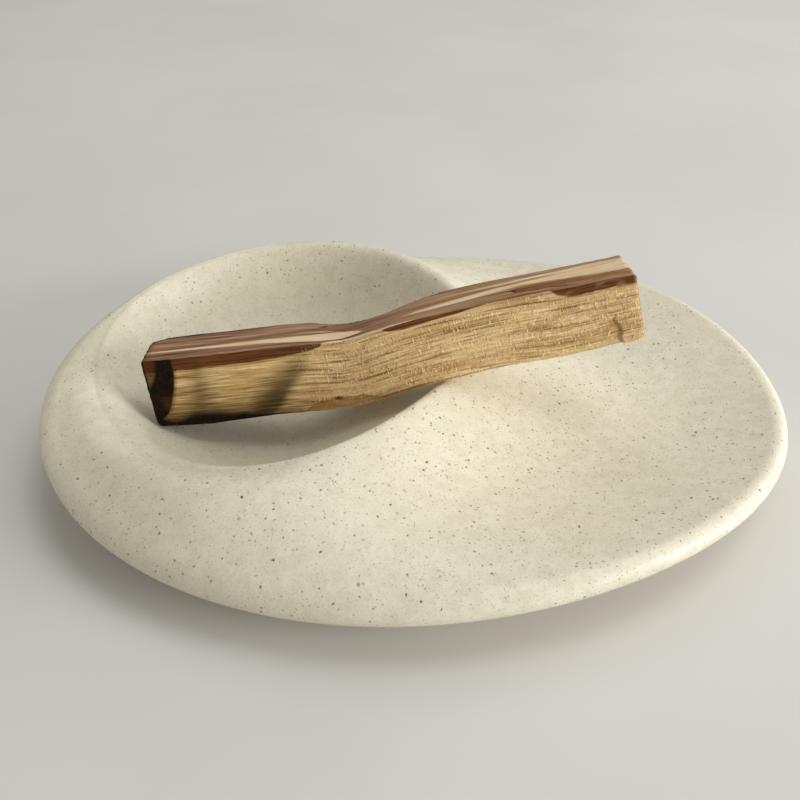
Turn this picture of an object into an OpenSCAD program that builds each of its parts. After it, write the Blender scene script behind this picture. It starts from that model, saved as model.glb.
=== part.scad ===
// Palo santo tray: a one-piece stoneware dish with a round bowl sunk into its
// back-left half, a crest around the bowl and a low wing to the right, and a
// loose split-wood stick that lies in the bowl and over the crest.
// Millimetres. +X along the tray's length, +Y to its back, +Z up, the table at z = 0.
// Values "around" the tray are given at eight compass points, as two lists:
// main = [right, back, left, front]
// diag = [back right, back left, front left, front right].

/* [Tray outline] */
// Length of the tray along its long axis
tray_l = 155; // [150:1:190]
// Width of the tray across its short axis
tray_w = 122; // [118:1:150]
// Height of the widest line of the edge, main compass points
edge_z_main = [11.2, 11.4, 15.1, 10.9]; // [10:0.1:17]
// Height of the widest line of the edge, diagonal compass points
edge_z_diag = [14, 15.9, 10.8, 12.7]; // [10:0.1:17]
// How far in the rounding of the edge reaches
lip_r = 3.6; // [2:0.2:6]
// Height of the rounding above the widest line
lip_up = 2.8; // [1.5:0.1:4]
// Depth of the rounding below the widest line
lip_dn = 4.2; // [2:0.1:6]

/* [Bowl] */
// Centre of the bowl from the centre of the tray, along the length
bowl_x = -27; // [-30:0.5:10]
// Centre of the bowl from the centre of the tray, to the back
bowl_y = 11; // [-10:0.5:14]
// Height of the bowl's floor above the table
bowl_floor = 5; // [5:0.25:9]
// Steepness of the bowl's wall
bowl_steep = 4.9; // [2.5:0.1:6]
// Height of the swelling halfway up the bowl's side, main compass points
bowl_fill_main = [6.8, 0, 0, 0]; // [0:0.1:9]
// Height of the swelling halfway up the bowl's side, diagonal compass points
bowl_fill_diag = [1.5, 0, 0, 4.4]; // [0:0.1:9]
// Radius of the crest around the bowl, main compass points
crest_r_main = [40.6, 39, 41.7, 42.5]; // [34:0.1:44]
// Radius of the crest around the bowl, diagonal compass points
crest_r_diag = [40.6, 39.3, 41.1, 38.4]; // [34:0.1:44]
// Height of the crest, main compass points
crest_z_main = [21.3, 24, 18.7, 20.6]; // [15:0.1:30]
// Height of the crest, diagonal compass points
crest_z_diag = [24, 22.4, 16, 22.3]; // [15:0.1:30]
// Softness of the crest towards the bowl, main compass points
crest_soft_main = [3.4, 4, 4.4, 1.8]; // [1.8:0.1:7]
// Softness of the crest towards the bowl, diagonal compass points
crest_soft_diag = [6.3, 1.8, 6.9, 2.4]; // [1.8:0.1:7]

/* [Wing] */
// Depth of the hollow between crest and edge (below zero, a swelling), main compass points
wing_dip_main = [4.9, 1.5, -0.6, 1.8]; // [-3:0.1:7]
// Depth of the hollow between crest and edge (below zero, a swelling), diagonal compass points
wing_dip_diag = [6.5, -0.6, -2.6, 5.8]; // [-3:0.1:7]
// Place of the hollow: 1 is midway, less is nearer the crest
wing_skew = 0.7; // [0.6:0.05:1]
// Slope of the surface where it meets the edge, main compass points
edge_slope_main = [0.22, -0.34, 0.19, -0.27]; // [-1:0.01:0.3]
// Slope of the surface where it meets the edge, diagonal compass points
edge_slope_diag = [0.09, -1, -0.28, 0.11]; // [-1:0.01:0.3]

/* [Foot] */
// Centre of the foot ring along the tray's length
foot_x = -2; // [-6:0.5:6]
// Length of the foot ring
foot_l = 100; // [90:1:110]
// Width of the foot ring
foot_w = 76; // [70:1:84]
// Breadth of the ring's flat face
foot_band = 8; // [6:0.5:10]
// Height of the small step at the ring's outside
foot_step = 1.2; // [0.6:0.1:2]
// Depth of the shallow recess inside the ring
foot_recess = 1; // [0.5:0.1:1.5]
// Diameter of a rubber pad
pad_d = 7; // [4:0.5:8]
// Thickness of a rubber pad
pad_h = 1.2; // [0.8:0.1:2]

/* [Stick] */
// Length of the stick in plan
stick_l = 99; // [70:0.5:110]
// Height of its section at the burnt end and at the far end
stick_h = [15.5, 14]; // [10:0.5:18]
// Depth of its section at the burnt end and at the far end
stick_w = [11.5, 11.5]; // [9:0.5:15]
// Place of the burnt end's lower front corner
stick_at = [-53, -6]; // [-56:0.5:4]
// Turn of the stick in plan
stick_yaw = -3; // [-5:0.5:5]
// Lean of the stick about its own length
stick_roll = 7; // [0:0.5:10]
// Rise of its lower edge at the first four of eight even stations
stick_rise_a = [0, 1.9, 4.2, 6.1]; // [0:0.1:10]
// Rise of its lower edge at the last four of eight even stations
stick_rise_b = [11.4, 15.8, 19.2, 23.5]; // [8:0.1:25]
// Rounding of its long edges
stick_edge = 0.6; // [0.3:0.1:2]
// Length of the burnt-back corner at the bowl end
char_l = 5.5; // [2:0.5:10]
// Clear distance kept between the stick and the tray
stick_gap = 0.2; // [0.1:0.05:0.5]

/* [Hidden] */

N = 80;                    // sectors around the bowl's centre
bowl_at = [bowl_x, bowl_y];
ea = tray_l / 2;           // half axes of the outline
eb = tray_w / 2;
foot_z = pad_h;            // the foot ring stands on the pads
rim_min = 2.5;             // least breadth of the rim outside the crest
soft_min_k = 0.8;          // least softness of the crest

// ---- periodic curve through eight compass values -------------------------------
function wave(x) = (1 + 2 * cos(x) + 2 * cos(2 * x) + 2 * cos(3 * x) + cos(4 * x)) / 8;
function sum4(v) = v[0] + v[1] + v[2] + v[3];
function around(m, d, a) =
    sum4([for (i = [0:3]) m[i] * wave(a - 90 * i) + d[i] * wave(a - 45 - 90 * i)]);

// ---- small helpers -------------------------------------------------------------
function soft_min(a, b, k) =
    let (h = max(k - abs(a - b), 0) / k) min(a, b) - h * h * h * k / 6;
function hermite(w, z0, z1, m1) =
    z0 * (2 * w * w * w - 3 * w * w + 1) + z1 * (3 * w * w - 2 * w * w * w) + m1 * (w * w * w - w * w);
function bez(p, v) =
    (1 - v) * (1 - v) * (1 - v) * p[0] + 3 * (1 - v) * (1 - v) * v * p[1]
    + 3 * (1 - v) * v * v * p[2] + v * v * v * p[3];
// distance from the bowl's centre, in direction s, to an ellipse about [cx, 0]
function reach(s, cx, a, b) =
    let (x = bowl_at[0] - cx, y = bowl_at[1], c = cos(s), n = sin(s),
         p = c * c / a / a + n * n / b / b,
         q = 2 * (x * c / a / a + y * n / b / b),
         r = x * x / a / a + y * y / b / b - 1)
    (-q + sqrt(q * q - 4 * p * r)) / (2 * p);

// ---- one sector of the tray, at angle t of the outline ellipse -----------------
// [dir, edge radius, crest radius, crest height, softness, edge height, dip, slope, lip, swelling]
function sector(t) =
    let (d = [ea * cos(t), eb * sin(t)] - bowl_at, s = atan2(d[1], d[0]), re = norm(d),
         rc = min(around(crest_r_main, crest_r_diag, s), re - rim_min))
    [s, re, rc,
     around(crest_z_main, crest_z_diag, s),
     max(around(crest_soft_main, crest_soft_diag, s), soft_min_k),
     around(edge_z_main, edge_z_diag, t),
     around(wing_dip_main, wing_dip_diag, t),
     around(edge_slope_main, edge_slope_diag, t),
     min(lip_r, 0.95 * (re - rc)),
     max(around(bowl_fill_main, bowl_fill_diag, s), 0)];
// the bowl's surface, u = 0 at its centre and 1 on the crest
function bowl_z(q, u) =
    let (h = u * (1 - u * u))
    soft_min(bowl_floor + (q[3] + q[4] - bowl_floor) * pow(u, bowl_steep) + 6.75 * q[9] * h * h, q[3], q[4]);
// the surface outside the crest, before the edge is rounded
function wing_z(q, r) =
    let (l = q[1] - q[2], w = min(max((r - q[2]) / l, 0), 1), v = pow(w, wing_skew), h = v * (1 - v))
    hermite(w, q[3], q[5] + lip_up, l * q[7]) - q[6] * 16 * h * h;
function lip_drop(q, r) =
    let (k = min(max((r - q[1] + q[8]) / q[8], 0), 1)) lip_up * (1 - sqrt(1 - k * k));
// height of the tray's upper surface at a plan point
function top_z(x, y) =
    let (d = [x, y] - bowl_at, s = atan2(d[1], d[0]), re = reach(s, 0, ea, eb),
         q = sector(atan2((bowl_at[1] + re * sin(s)) / eb, (bowl_at[0] + re * cos(s)) / ea)),
         r = norm(d))
    r <= q[2] ? bowl_z(q, r / q[2]) : wing_z(q, min(r, re)) - lip_drop(q, min(r, re));

// ---- the tray's profile in one sector, from the bowl's centre over the edge ----
// to the foot ring and into the recess under it
bowl_n = 18;
wing_n = 14;
lip_n = 6;
under_n = 6;
function profile(t) =
    let (q = sector(t), s = q[0], re = q[1], rc = q[2], ze = q[5], l = q[8],
         rf = reach(s, foot_x, foot_l / 2, foot_w / 2),
         ri = reach(s, foot_x, foot_l / 2 - foot_band, foot_w / 2 - foot_band),
         under = [[re, ze], [re, ze - 1.1 * lip_dn],
                  [rf + 0.45 * (re - rf), foot_z + foot_step + 0.1 * (ze - foot_z)],
                  [rf + 0.5, foot_z + foot_step]])
    concat(
        [for (i = [1:bowl_n]) let (u = 1 - pow(1 - i / bowl_n, 1.25)) [rc * u, bowl_z(q, u)]],
        [for (i = [1:wing_n]) let (r = rc + (re - l - rc) * i / wing_n) [r, wing_z(q, r)]],
        [for (i = [1:lip_n]) let (r = re - l + l * sin(90 * i / lip_n))
            [r, wing_z(q, r) - lip_up * (1 - cos(90 * i / lip_n))]],
        [for (i = [1:under_n]) bez(under, i / under_n)],
        [[rf, foot_z + 0.4 * foot_step], [rf - 0.4, foot_z], [ri, foot_z], [ri - 0.5, foot_z + 0.6 * foot_recess], [ri - 1.2, foot_z + foot_recess]]);

module tray_body() {
    rows = [for (i = [0:N - 1]) profile(360 * i / N)];
    dirs = [for (i = [0:N - 1]) sector(360 * i / N)[0]];
    m = len(rows[0]);
    pts = concat(
        [[bowl_at[0], bowl_at[1], bowl_floor]],
        [for (k = [0:m - 1]) for (i = [0:N - 1])
            [bowl_at[0] + rows[i][k][0] * cos(dirs[i]), bowl_at[1] + rows[i][k][0] * sin(dirs[i]), rows[i][k][1]]],
        [[bowl_at[0], bowl_at[1], foot_z + foot_recess]]);
    last = 1 + m * N;
    tris = concat(
        [for (i = [0:N - 1]) [0, 1 + (i + 1) % N, 1 + i]],
        [for (k = [0:m - 2]) for (i = [0:N - 1])
            let (a = 1 + k * N + i, b = 1 + k * N + (i + 1) % N) [a, b, b + N]],
        [for (k = [0:m - 2]) for (i = [0:N - 1])
            let (a = 1 + k * N + i, b = 1 + k * N + (i + 1) % N) [a, b + N, a + N]],
        [for (i = [0:N - 1]) [last, last - N + i, last - N + (i + 1) % N]]);
    color("#d9d2bd") polyhedron(points = pts, faces = tris, convexity = 6);
}

// ---- rubber pads on the middle line of the foot ring ----------------------------
module pad(a) {
    translate([foot_x + (foot_l - foot_band) / 2 * cos(a), (foot_w - foot_band) / 2 * sin(a), 0])
        cylinder(d = pad_d, h = pad_h, $fn = 48);
}
module pad_back() { color("#8d8c88") pad(90); }
module pad_front_left() { color("#8d8c88") pad(210); }
module pad_front_right() { color("#8d8c88") pad(330); }

// ---- the stick -------------------------------------------------------------------
// smooth curve through the eight rises, and its slope; f runs 0 to 1
rises = concat(stick_rise_a, stick_rise_b);
function rise_at(i) =
    i < 0 ? 2 * rises[0] - rises[1] : i > 7 ? 2 * rises[7] - rises[6] : rises[i];
function rise(f) =
    let (x = f * 7, i = min(max(floor(x), 0), 6), w = x - i,
         a = rise_at(i - 1), b = rise_at(i), c = rise_at(i + 1), d = rise_at(i + 2))
    0.5 * (2 * b + (c - a) * w + (2 * a - 5 * b + 4 * c - d) * w * w + (3 * b - a - 3 * c + d) * w * w * w);
function tilt(f) = atan2(rise(f + 0.01) - rise(f - 0.01), 0.02 * stick_l);
// frame at f: lower front corner, unit vectors to the back and up the front face
function along(f) = [stick_at[0] + f * stick_l, stick_at[1] + f * stick_l * tan(stick_yaw), rise(f)];
function up_n(f) = [-sin(tilt(f)), 0, cos(tilt(f))];
function to_back(f) = cos(stick_roll) * [0, 1, 0] - sin(stick_roll) * up_n(f);
function to_top(f) = cos(stick_roll) * up_n(f) + sin(stick_roll) * [0, 1, 0];
function sec_h(f) = stick_h[0] + (stick_h[1] - stick_h[0]) * f;
function sec_w(f) = stick_w[0] + (stick_w[1] - stick_w[0]) * f;
// how far the front face is burnt back near the bowl end
function burn(f) = 1.2 * max(1 - f * stick_l / char_l, 0);
// rounded section, inset by e at the two ends, in [back, up]
function section(f, e) =
    let (b0 = burn(f) + e, b1 = sec_w(f) - e, h0 = e, h1 = sec_h(f) - e, r = stick_edge)
    [for (c = [[b1 - r, h1 - r, 0], [b0 + r, h1 - r, 90], [b0 + r, h0 + r, 180], [b1 - r, h0 + r, 270]])
        for (a = [0, 45, 90]) [c[0] + r * cos(a + c[2]), c[1] + r * sin(a + c[2])]];
// lift that leaves the stick just clear of the bowl and the crest
stick_n = 40;
stick_lift = max([for (i = [0:2 * stick_n]) let (f = i / stick_n / 2) for (b = [0, 0.25, 0.5, 0.75, 1])
    let (p = along(f) + b * sec_w(f) * to_back(f)) top_z(p[0], p[1]) + stick_gap - p[2]]);

module palo_santo_stick() {
    f_at = concat([0], [for (i = [0:stick_n]) 0.006 + 0.988 * i / stick_n], [1]);
    m = len(f_at);
    pts = [for (k = [0:m - 1]) let (f = f_at[k], e = (k == 0 || k == m - 1) ? 0.5 : 0)
        for (p = section(f, e)) along(f) + p[0] * to_back(f) + p[1] * to_top(f) + [0, 0, stick_lift]];
    n = 12;
    faces = concat(
        [[for (i = [0:n - 1]) i]],
        [for (k = [0:m - 2]) for (i = [0:n - 1])
            let (a = k * n + i, b = k * n + (i + 1) % n) [a, a + n, b]],
        [for (k = [0:m - 2]) for (i = [0:n - 1])
            let (a = k * n + i, b = k * n + (i + 1) % n) [b, a + n, b + n]],
        [[for (i = [0:n - 1]) m * n - 1 - i]]);
    color("#b08a55") polyhedron(points = pts, faces = faces, convexity = 4);
}

tray_body();
pad_back();
pad_front_left();
pad_front_right();
palo_santo_stick();
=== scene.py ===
import math

import bpy
import numpy as np
from mathutils import Matrix, Vector


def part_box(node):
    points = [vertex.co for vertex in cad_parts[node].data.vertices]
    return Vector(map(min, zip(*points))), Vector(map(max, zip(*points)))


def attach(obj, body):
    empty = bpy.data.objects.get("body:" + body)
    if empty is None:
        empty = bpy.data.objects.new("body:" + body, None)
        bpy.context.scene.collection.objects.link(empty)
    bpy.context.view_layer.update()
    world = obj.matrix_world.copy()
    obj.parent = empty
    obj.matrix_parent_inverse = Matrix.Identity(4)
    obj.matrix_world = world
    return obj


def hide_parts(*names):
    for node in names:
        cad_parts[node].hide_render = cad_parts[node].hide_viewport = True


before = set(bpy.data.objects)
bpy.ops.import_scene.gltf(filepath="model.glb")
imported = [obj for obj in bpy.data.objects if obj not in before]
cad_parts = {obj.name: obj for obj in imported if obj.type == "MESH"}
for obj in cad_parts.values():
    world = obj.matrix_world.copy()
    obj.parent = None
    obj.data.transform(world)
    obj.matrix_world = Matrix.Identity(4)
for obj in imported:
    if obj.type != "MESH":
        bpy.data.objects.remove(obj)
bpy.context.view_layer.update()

TAU = 2.0 * math.pi
MM = 0.001


# ---------------------------------------------------------------- seeded noise
def lattice(ix, iy, seed):
    h = (ix.astype(np.int64) * 374761393 + iy.astype(np.int64) * 668265263 + seed * 974634777) & 0xFFFFFFFF
    h = ((h ^ (h >> 13)) * 1274126177) & 0xFFFFFFFF
    return ((h ^ (h >> 16)) & 0xFFFFFF) / float(0xFFFFFF)


def noise2(x, y, seed=0):
    """Smooth value noise, -1 to 1."""
    x, y = np.broadcast_arrays(np.asarray(x, float), np.asarray(y, float))
    x0, y0 = np.floor(x), np.floor(y)
    fx, fy = x - x0, y - y0
    fx = fx * fx * fx * (fx * (fx * 6 - 15) + 10)
    fy = fy * fy * fy * (fy * (fy * 6 - 15) + 10)
    a = lattice(x0, y0, seed); b = lattice(x0 + 1, y0, seed)
    c = lattice(x0, y0 + 1, seed); d = lattice(x0 + 1, y0 + 1, seed)
    return 2 * ((a + (b - a) * fx) * (1 - fy) + (c + (d - c) * fx) * fy) - 1


def fbm(x, y, seed=0, octaves=4, gain=0.5):
    out, amp, tot = 0.0, 1.0, 0.0
    for k in range(octaves):
        out = out + amp * noise2(x * 2 ** k, y * 2 ** k, seed + 17 * k)
        tot += amp
        amp *= gain
    return out / tot


def step(lo, hi, x):
    t = np.clip((x - lo) / (hi - lo), 0, 1)
    return t * t * (3 - 2 * t)


# ---------------------------------------------------------------- mesh helpers
def make_mesh(name, verts_mm, faces, mats=(), face_mat=None, attrs=None, uv=None):
    me = bpy.data.meshes.new(name)
    me.from_pydata((np.asarray(verts_mm) * MM).tolist(), [], faces)
    me.polygons.foreach_set("use_smooth", np.ones(len(me.polygons), bool))
    for m in mats:
        me.materials.append(m)
    if face_mat is not None:
        me.polygons.foreach_set("material_index", np.asarray(face_mat, np.int32))
    for key, val in (attrs or {}).items():
        a = me.attributes.new(key, "FLOAT", "POINT")
        a.data.foreach_set("value", np.asarray(val, np.float32))
    if uv is not None:
        v = np.zeros((len(uv), 3), np.float32)
        v[:, :2] = uv
        a = me.attributes.new("grain_at", "FLOAT_VECTOR", "POINT")
        a.data.foreach_set("vector", v.ravel())
    me.validate()
    me.update()
    ob = bpy.data.objects.new(name, me)
    bpy.context.scene.collection.objects.link(ob)
    return ob


def rings_to_faces(n_ring, n_sec, first, closed_top=None, closed_bottom=None):
    faces = []
    if closed_top is not None:
        faces += [(closed_top, first + i, first + (i + 1) % n_sec) for i in range(n_sec)]
    for k in range(n_ring - 1):
        a = first + k * n_sec
        b = a + n_sec
        for i in range(n_sec):
            j = (i + 1) % n_sec
            faces.append((a + i, b + i, b + j, a + j))
    if closed_bottom is not None:
        a = first + (n_ring - 1) * n_sec
        faces += [(closed_bottom, a + (i + 1) % n_sec, a + i) for i in range(n_sec)]
    return faces


# ---------------------------------------------------------------- node helpers
class Nodes:
    def __init__(self, name):
        self.mat = bpy.data.materials.new(name)
        self.mat.use_nodes = True
        self.t = self.mat.node_tree
        self.bsdf = self.t.nodes["Principled BSDF"]

    def n(self, kind, **kw):
        node = self.t.nodes.new(kind)
        for k, v in kw.items():
            setattr(node, k, v)
        return node

    def link(self, a, b):
        self.t.links.new(a, b)

    def put(self, sock, val):
        if hasattr(val, "is_output"):
            self.link(val, sock)
        elif isinstance(val, tuple) and len(val) == 3 and sock.type == "RGBA":
            sock.default_value = (*val, 1.0)
        else:
            sock.default_value = val

    def math(self, op, a, b=0.0, c=0.0, clamp=False):
        m = self.n("ShaderNodeMath", operation=op, use_clamp=clamp)
        for i, v in enumerate((a, b, c)):
            if i < len(m.inputs):
                self.put(m.inputs[i], v)
        return m.outputs[0]

    def ramp(self, val, lo, hi, to_lo=0.0, to_hi=1.0, smooth=True):
        m = self.n("ShaderNodeMapRange", interpolation_type="SMOOTHSTEP" if smooth else "LINEAR", clamp=True)
        self.put(m.inputs["Value"], val)
        m.inputs["From Min"].default_value = lo
        m.inputs["From Max"].default_value = hi
        m.inputs["To Min"].default_value = to_lo
        m.inputs["To Max"].default_value = to_hi
        return m.outputs["Result"]

    def mix(self, fac, a, b, mode="MIX"):
        m = self.n("ShaderNodeMix", data_type="RGBA", blend_type=mode, clamp_factor=True)
        self.put(m.inputs[0], fac)
        self.put(m.inputs[6], a)
        self.put(m.inputs[7], b)
        return m.outputs[2]

    def scaled(self, vec, sx, sy, sz, off=(0, 0, 0)):
        m = self.n("ShaderNodeMapping")
        self.link(vec, m.inputs["Vector"])
        m.inputs["Scale"].default_value = (sx, sy, sz)
        m.inputs["Location"].default_value = off
        return m.outputs[0]

    def noise(self, vec, scale, detail=4.0, rough=0.55, dist=0.0, col=False):
        m = self.n("ShaderNodeTexNoise")
        self.link(vec, m.inputs["Vector"])
        m.inputs["Scale"].default_value = scale
        m.inputs["Detail"].default_value = detail
        m.inputs["Roughness"].default_value = rough
        m.inputs["Distortion"].default_value = dist
        return m.outputs["Color" if col else "Fac"]

    def voronoi(self, vec, scale, rand=1.0):
        m = self.n("ShaderNodeTexVoronoi", feature="F1")
        self.link(vec, m.inputs["Vector"])
        m.inputs["Scale"].default_value = scale
        m.inputs["Randomness"].default_value = rand
        return m.outputs["Distance"], m.outputs["Color"]

    def rgb(self, col):
        m = self.n("ShaderNodeSeparateColor")
        self.link(col, m.inputs[0])
        return m.outputs[0], m.outputs[1], m.outputs[2]

    def attr(self, name, vec=False):
        m = self.n("ShaderNodeAttribute", attribute_type="GEOMETRY", attribute_name=name)
        return m.outputs["Vector" if vec else "Fac"]

    def bump(self, height, dist, strength=1.0, normal=None):
        m = self.n("ShaderNodeBump")
        m.inputs["Strength"].default_value = strength
        m.inputs["Distance"].default_value = dist
        self.link(height, m.inputs["Height"])
        if normal is not None:
            self.link(normal, m.inputs["Normal"])
        return m.outputs[0]

    def obj_mm(self):
        m = self.n("ShaderNodeTexCoord")
        return self.scaled(m.outputs["Object"], 1000.0, 1000.0, 1000.0)


def lin(r, g, b):
    f = lambda c: c / 12.92 if c <= 0.04045 else ((c + 0.055) / 1.055) ** 2.4
    return (f(r / 255), f(g / 255), f(b / 255))


# ---------------------------------------------------------------- stoneware
def speck_layer(m, vec, cell, r_lo, r_hi, keep):
    """Mask of irregular specks, one to a cell of that many mm, with radii between r_lo and r_hi mm."""
    dist, col = m.voronoi(vec, 1.0 / cell)
    r, g, b = m.rgb(col)
    rad = m.ramp(r, 0.0, 1.0, r_lo / cell, r_hi / cell, smooth=False)
    inner = m.math("MULTIPLY", rad, 0.45)
    t = m.math("DIVIDE", m.math("SUBTRACT", rad, dist), m.math("SUBTRACT", rad, inner), clamp=True)
    on = m.math("GREATER_THAN", keep, g)
    strength = m.ramp(b, 0.0, 1.0, 0.45, 1.0, smooth=False)
    return m.math("MULTIPLY", m.math("MULTIPLY", t, on), strength)


def stoneware():
    m = Nodes("stoneware_glaze")
    p = m.obj_mm()
    wob = m.noise(p, 1.7, 2.0, 0.5, col=True)
    sub = m.n("ShaderNodeVectorMath", operation="SUBTRACT"); m.link(wob, sub.inputs[0]); sub.inputs[1].default_value = (0.5, 0.5, 0.5)
    mul = m.n("ShaderNodeVectorMath", operation="SCALE"); m.link(sub.outputs[0], mul.inputs[0]); mul.inputs["Scale"].default_value = 0.75
    add = m.n("ShaderNodeVectorMath", operation="ADD"); m.link(p, add.inputs[0]); m.link(mul.outputs[0], add.inputs[1])
    q = add.outputs[0]

    broad = m.noise(p, 0.045, 3.0, 0.5)
    cloud = m.noise(p, 0.35, 3.0, 0.55)
    grit = m.noise(p, 2.6, 3.0, 0.65)
    col = m.mix(m.ramp(broad, 0.3, 0.7), lin(226, 219, 197), lin(232, 226, 206))
    col = m.mix(m.ramp(cloud, 0.36, 0.68, 0.0, 0.55), col, lin(214, 206, 181))
    col = m.mix(m.ramp(grit, 0.50, 0.80, 0.0, 0.40), col, lin(196, 184, 158))

    fizz = m.noise(p, 2.2, 2.0, 0.6)
    col = m.mix(m.ramp(fizz, 0.50, 0.74, 0.0, 0.26), col, lin(170, 156, 124))
    col = m.mix(m.ramp(fizz, 0.46, 0.28, 0.0, 0.22), col, lin(240, 234, 214))
    patch = m.noise(p, 0.11, 2.0, 0.5)
    keep = m.ramp(patch, 0.3, 0.7, 0.60, 1.0)
    clump = m.ramp(m.noise(p, 0.30, 2.0, 0.5), 0.40, 0.62, 0.35, 1.0)
    near = m.n("ShaderNodeVectorMath", operation="DISTANCE"); m.link(p, near.inputs[0]); near.inputs[1].default_value = (18.0, -16.0, 18.0)
    dense = m.ramp(near.outputs["Value"], 12.0, 42.0, 1.55, 1.0)
    mid_bowl = m.n("ShaderNodeVectorMath", operation="DISTANCE"); m.link(p, mid_bowl.inputs[0]); mid_bowl.inputs[1].default_value = (-27.0, 11.0, 8.0)
    thick = m.ramp(mid_bowl.outputs["Value"], 28.0, 40.0, 0.58, 1.0)
    sparse = m.ramp(near.outputs["Value"], 38.0, 74.0, 1.0, 0.66)
    clump = m.math("MULTIPLY", m.math("MULTIPLY", clump, dense), sparse)
    keep = m.math("MULTIPLY", m.math("MULTIPLY", keep, m.ramp(near.outputs["Value"], 12.0, 42.0, 1.30, 0.95)), sparse)
    fine = speck_layer(m, q, 0.74, 0.09, 0.20, clump)
    mid = speck_layer(m, q, 1.20, 0.13, 0.30, keep)
    big = speck_layer(m, q, 2.05, 0.16, 0.39, keep)
    col = m.mix(m.math("MULTIPLY", m.math("MULTIPLY", fine, 0.80), thick), col, lin(120, 101, 60))
    col = m.mix(m.math("MULTIPLY", m.math("MULTIPLY", mid, 0.92), thick), col, lin(88, 70, 36))
    col = m.mix(m.math("MULTIPLY", m.math("MULTIPLY", big, 0.97), thick), col, lin(62, 47, 22))
    m.link(col, m.bsdf.inputs["Base Color"])

    rough = m.ramp(m.noise(p, 0.8, 4.0, 0.6), 0.3, 0.7, 0.40, 0.50)
    rough = m.math("ADD", rough, m.math("MULTIPLY", m.math("ADD", mid, big), 0.10))
    m.link(rough, m.bsdf.inputs["Roughness"])
    m.bsdf.inputs["IOR"].default_value = 1.48
    m.bsdf.inputs["Coat Weight"].default_value = 0.10
    m.bsdf.inputs["Coat Roughness"].default_value = 0.28

    orange = m.noise(p, 0.9, 3.0, 0.55)
    tooth = m.noise(p, 5.0, 2.0, 0.6)
    h = m.math("ADD", m.math("MULTIPLY", orange, 1.0), m.math("MULTIPLY", tooth, 0.22))
    h = m.math("SUBTRACT", h, m.math("MULTIPLY", m.math("ADD", mid, big), 0.35))
    m.link(m.bump(h, 0.00006, 0.8), m.bsdf.inputs["Normal"])
    return m.mat


def bare_clay():
    m = Nodes("stoneware_bare_foot")
    p = m.obj_mm()
    a = m.noise(p, 0.5, 5.0, 0.6)
    b = m.noise(p, 6.0, 3.0, 0.7)
    col = m.mix(m.ramp(a, 0.3, 0.7), lin(196, 182, 154), lin(182, 165, 135))
    col = m.mix(m.ramp(b, 0.55, 0.75, 0.0, 0.5), col, lin(140, 122, 96))
    d, c = m.voronoi(p, 0.9)
    r, g, _ = m.rgb(c)
    col = m.mix(m.math("MULTIPLY", m.ramp(d, 0.12, 0.26, 0.8, 0.0), m.math("GREATER_THAN", g, 0.45)), col, lin(92, 74, 56))
    m.link(col, m.bsdf.inputs["Base Color"])
    m.link(m.ramp(b, 0.3, 0.7, 0.72, 0.88), m.bsdf.inputs["Roughness"])
    m.link(m.bump(b, 0.00010, 0.9), m.bsdf.inputs["Normal"])
    return m.mat


# tray: same shape as the CAD body, values at eight compass points
# (right, back right, back, back left, left, front left, front, front right)
EA, EB = 77.5, 61.0
BX, BY = -27.0, 11.0
FLOOR, STEEP, SKEW = 5.0, 4.9, 0.7
FILL = (6.8, 1.5, 0.0, 0.0, 0.0, 0.0, 0.0, 4.4)
EDGE_Z = (11.2, 14.0, 11.4, 15.9, 15.1, 10.8, 10.9, 12.7)
CREST_R = (40.6, 40.6, 39.0, 39.3, 41.7, 41.1, 42.5, 38.4)
CREST_Z = (21.3, 24.0, 24.0, 22.4, 18.7, 16.0, 20.6, 22.3)
SOFT = (3.4, 6.3, 4.0, 1.8, 4.4, 6.9, 1.8, 2.4)
DIP = (4.9, 6.5, 1.5, -0.6, -0.6, -2.6, 1.8, 5.8)
SLOPE = (0.22, 0.09, -0.34, -1.0, 0.19, -0.28, -0.27, 0.11)
LIP_R, LIP_UP, LIP_DN = 3.6, 2.8, 4.2
FOOT_X, FOOT_A, FOOT_B, FOOT_BAND, FOOT_STEP, FOOT_Z, RECESS = -2.0, 50.0, 38.0, 8.0, 1.2, 1.2, 1.0


def around(vals, ang):
    out = 0.0
    for k, v in enumerate(vals):
        x = ang - k * TAU / 8
        out = out + v * (1 + 2 * np.cos(x) + 2 * np.cos(2 * x) + 2 * np.cos(3 * x) + np.cos(4 * x)) / 8
    return out


def reach(s, cx, a, b):
    x, y, c, n = BX - cx, BY, np.cos(s), np.sin(s)
    p = (c / a) ** 2 + (n / b) ** 2
    q = 2 * (x * c / a ** 2 + y * n / b ** 2)
    r = (x / a) ** 2 + (y / b) ** 2 - 1
    return (-q + np.sqrt(q * q - 4 * p * r)) / (2 * p)


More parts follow.
